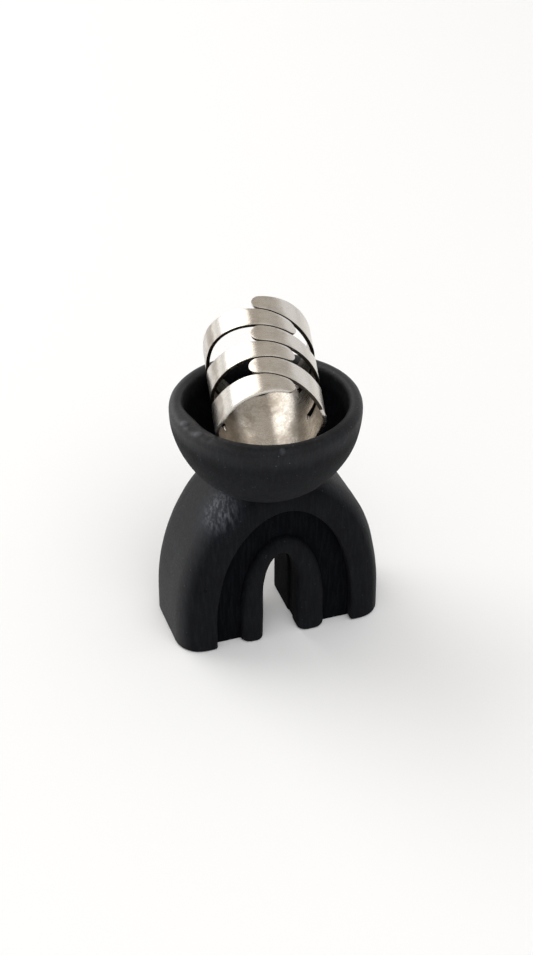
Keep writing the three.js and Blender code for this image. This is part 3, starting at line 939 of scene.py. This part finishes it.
def shape_by_hand(holder, sizes):
    """Makes the cast shape slightly uneven, as a hand-smoothed one is, and chips its rim."""
    noise.seed_set(WAVE_SEED)
    holder.normal_update()
    for vert in holder.verts:
        place = vert.co.copy()
        # Waves 9 mm long and 0.12 mm high, and small ones over 2.5 mm
        slow = noise.noise_vector(place / (9 * MM)) * 0.12 * MM
        quick = noise.noise_vector(place / (2.5 * MM)) * 0.03 * MM
        vert.co += (slow + quick) * smooth_step(place.z, 0, 3 * MM)
        for spot, width, rise in HAND_SPOTS:
            off = (place - Vector(spot) * MM).length / (width * MM)
            if off < 1:
                vert.co += vert.normal * rise * MM * (1 - off * off) ** 2
        for axis in range(3):
            vert.co[axis] = min(max(vert.co[axis], CAD_BOX[0][axis]), CAD_BOX[1][axis])


def mark_wear_and_shade_on_bowl(bowl, sizes):
    """Says where hands have smoothed the bowl: most on its rim, less on its outside. The same
    mask paints shade, so the clay is darker down inside the hollow and on the rim's front.
    """
    wear_and_shade = bowl.verts.layers.float.new("wear_and_shade")
    middle = Vector(sizes.bowl_middle)
    bowl.normal_update()
    for vert in bowl.verts:
        place = vert.co - middle
        up = smooth_step(place.z, -3 * MM, 1.2 * MM)
        inside = vert.normal.dot(Vector((place.x, place.y, 0))) < 0
        # The rim's front is painted darker as shade
        front = 1 - smooth_step(place.y, -15 * MM, -6 * MM)
        vert[wear_and_shade] = (up if inside else mix(0.3, 1, up)) * mix(1, 0.55, front * up)


def mark_wear_and_shade_on_foot(foot, sizes):
    """Says where hands have smoothed the foot: on the arch's outer side, but hardly on its flat
    front and back, and not inside the groove and the doorway. The same mask paints shade, so
    the groove, the doorway and the flat front and back are darker."""
    wear_and_shade = foot.verts.layers.float.new("wear_and_shade")
    foot.normal_update()
    for vert in foot.verts:
        up = max(vert.co.z - sizes.leg_straight, 0) / (sizes.foot_height - sizes.leg_straight)
        outline = math.hypot(2 * vert.co.x / sizes.foot_width, up)
        flat = smooth_step(abs(vert.normal.y), 0.4, 0.95)
        depth = sizes.foot_depth / 2 - abs(vert.co.y - sizes.foot_offset)
        face = 1 - smooth_step(depth, 0.5 * MM, 0.9 * sizes.groove_depth)
        vert[wear_and_shade] = max(smooth_step(outline, 0.78, 0.95) * mix(0.65, 0.1, flat), 0.2 * face)


def aim(thing, place, target):
    """Puts a lamp or the camera at a place and turns it toward a target."""
    thing.location = place
    thing.rotation_euler = (Vector(target) - Vector(place)).to_track_quat("-Z", "Y").to_euler()


class RING_HOLDER_OT_silver_ring(bpy.types.Operator):
    """Make the open silver ring and lean it in the bowl"""
    bl_idname = "ring_holder.silver_ring"
    bl_label = "Silver ring"
    bl_options = {"REGISTER", "UNDO"}

    def execute(self, context):
        sizes = context.scene.ring_sizes
        sheet = silver_sheet(sizes)
        age_ring(sheet, sizes)
        file_ring_edges(sheet, sizes)
        mark_sawn_edges(sheet, sizes)
        lean_ring(sheet, sizes)
        piece = finish_piece(sheet, "silver_ring", satin_silver(sizes), darkened_silver(sizes))
        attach(piece, "root")
        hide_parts("ring")
        return {"FINISHED"}


class RING_HOLDER_OT_stoneware_holder(bpy.types.Operator):
    """Make the stoneware bowl on its arched foot"""
    bl_idname = "ring_holder.stoneware_holder"
    bl_label = "Stoneware holder"
    bl_options = {"REGISTER", "UNDO"}

    def execute(self, context):
        sizes = context.scene.holder_sizes
        bowl, foot = stoneware_bowl(sizes), stoneware_foot(sizes)
        mark_wear_and_shade_on_bowl(bowl, sizes)
        mark_wear_and_shade_on_foot(foot, sizes)
        holder = joined((bowl, foot))
        shape_by_hand(holder, sizes)
        piece = finish_piece(holder, "stoneware_holder", black_stoneware(sizes))
        piece.data.set_sharp_from_angle(angle=math.radians(42))
        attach(piece, "root")
        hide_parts("holder")
        return {"FINISHED"}


class RING_HOLDER_OT_stage(bpy.types.Operator):
    """Make the pale floor, the soft studio light and the camera"""
    bl_idname = "ring_holder.stage"
    bl_label = "Stage"
    bl_options = {"REGISTER", "UNDO"}

    def execute(self, context):
        scene = context.scene
        sizes = scene.stage_sizes
        ground = bmesh.new()
        bmesh.ops.create_circle(ground, cap_ends=True, segments=96, radius=sizes.floor_radius)
        finish_piece(ground, "floor", pale_paper(sizes))

        for name, place, width, watts, colour in LIGHTS:
            light = bpy.data.lights.new(name, "AREA")
            light.shape = "DISK"
            light.size = width
            light.energy = watts
            light.color = linear(colour)
            lamp = bpy.data.objects.new(name, light)
            aim(lamp, place, LIGHT_AIM)
            scene.collection.objects.link(lamp)

        scene.view_settings.view_transform = "Standard"
        world = bpy.data.worlds.new("studio")
        world.use_nodes = True
        # A bright room behind and beside the object, a dimmer ceiling, and the dark camera side
        tree = world.node_tree
        direction = add_node(tree, "ShaderNodeTexCoord").outputs["Generated"]
        toward_front = add_node(tree, "ShaderNodeVectorMath", {
            0: direction, 1: SHADE_SIDE}, operation="DOT_PRODUCT").outputs["Value"]
        front = add_node(tree, "ShaderNodeMapRange", {
            "Value": toward_front, "From Min": -0.15, "From Max": 0.7},
            interpolation_type="SMOOTHSTEP").outputs[0]
        toward_top = add_node(tree, "ShaderNodeVectorMath", {
            0: direction, 1: (0.0, 0.0, 1.0)}, operation="DOT_PRODUCT").outputs["Value"]
        top = add_node(tree, "ShaderNodeMapRange", {
            "Value": toward_top, "From Min": 0.42, "From Max": 0.58},
            interpolation_type="SMOOTHSTEP").outputs[0]
        room = add_node(tree, "ShaderNodeMix", {
            0: top, MIX_FIRST: (*sizes.window_colour, 1), MIX_SECOND: (*sizes.ceiling_colour, 1)},
            data_type="RGBA").outputs[MIX_RESULT]
        room = add_node(tree, "ShaderNodeMix", {
            0: front, MIX_FIRST: room, MIX_SECOND: (*sizes.shade_colour, 1)},
            data_type="RGBA").outputs[MIX_RESULT]
        tree.links.new(room, tree.nodes["Background"].inputs["Color"])
        scene.world = world

        data = bpy.data.cameras.new("camera")
        data.lens = sizes.lens
        data.clip_start = 0.01
        camera = bpy.data.objects.new("camera", data)
        aim(camera, CAMERA_PLACE, CAMERA_AIM)
        scene.collection.objects.link(camera)
        scene.camera = camera
        return {"FINISHED"}


class RING_HOLDER_PT_panel(bpy.types.Panel):
    bl_idname = "RING_HOLDER_PT_panel"
    bl_label = "Ring in a holder"
    bl_space_type = "VIEW_3D"
    bl_region_type = "UI"
    bl_category = "Ring Holder"

    def draw(self, context):
        for operator, group in MAKING:
            column = self.layout.column(align=True)
            column.operator(operator.bl_idname)
            sizes = getattr(context.scene, group)
            for name in sizes.bl_rna.properties.keys():
                if name not in ("rna_type", "name"):
                    column.prop(sizes, name)


MAKING = (
    (RING_HOLDER_OT_silver_ring, "ring_sizes"),
    (RING_HOLDER_OT_stoneware_holder, "holder_sizes"),
    (RING_HOLDER_OT_stage, "stage_sizes"),
)
GROUPS = {"ring_sizes": RingSizes, "holder_sizes": HolderSizes, "stage_sizes": StageSizes}
CLASSES = (*GROUPS.values(), *(operator for operator, group in MAKING), RING_HOLDER_PT_panel)


def register():
    for cls in CLASSES:
        bpy.utils.register_class(cls)
    for name, cls in GROUPS.items():
        setattr(bpy.types.Scene, name, PointerProperty(type=cls))


def unregister():
    for name in GROUPS:
        delattr(bpy.types.Scene, name)
    for cls in reversed(CLASSES):
        bpy.utils.unregister_class(cls)


def main():
    register()
    bpy.ops.ring_holder.stage()
    bpy.ops.ring_holder.silver_ring()
    bpy.ops.ring_holder.stoneware_holder()


if __name__ == "__main__":
    main()
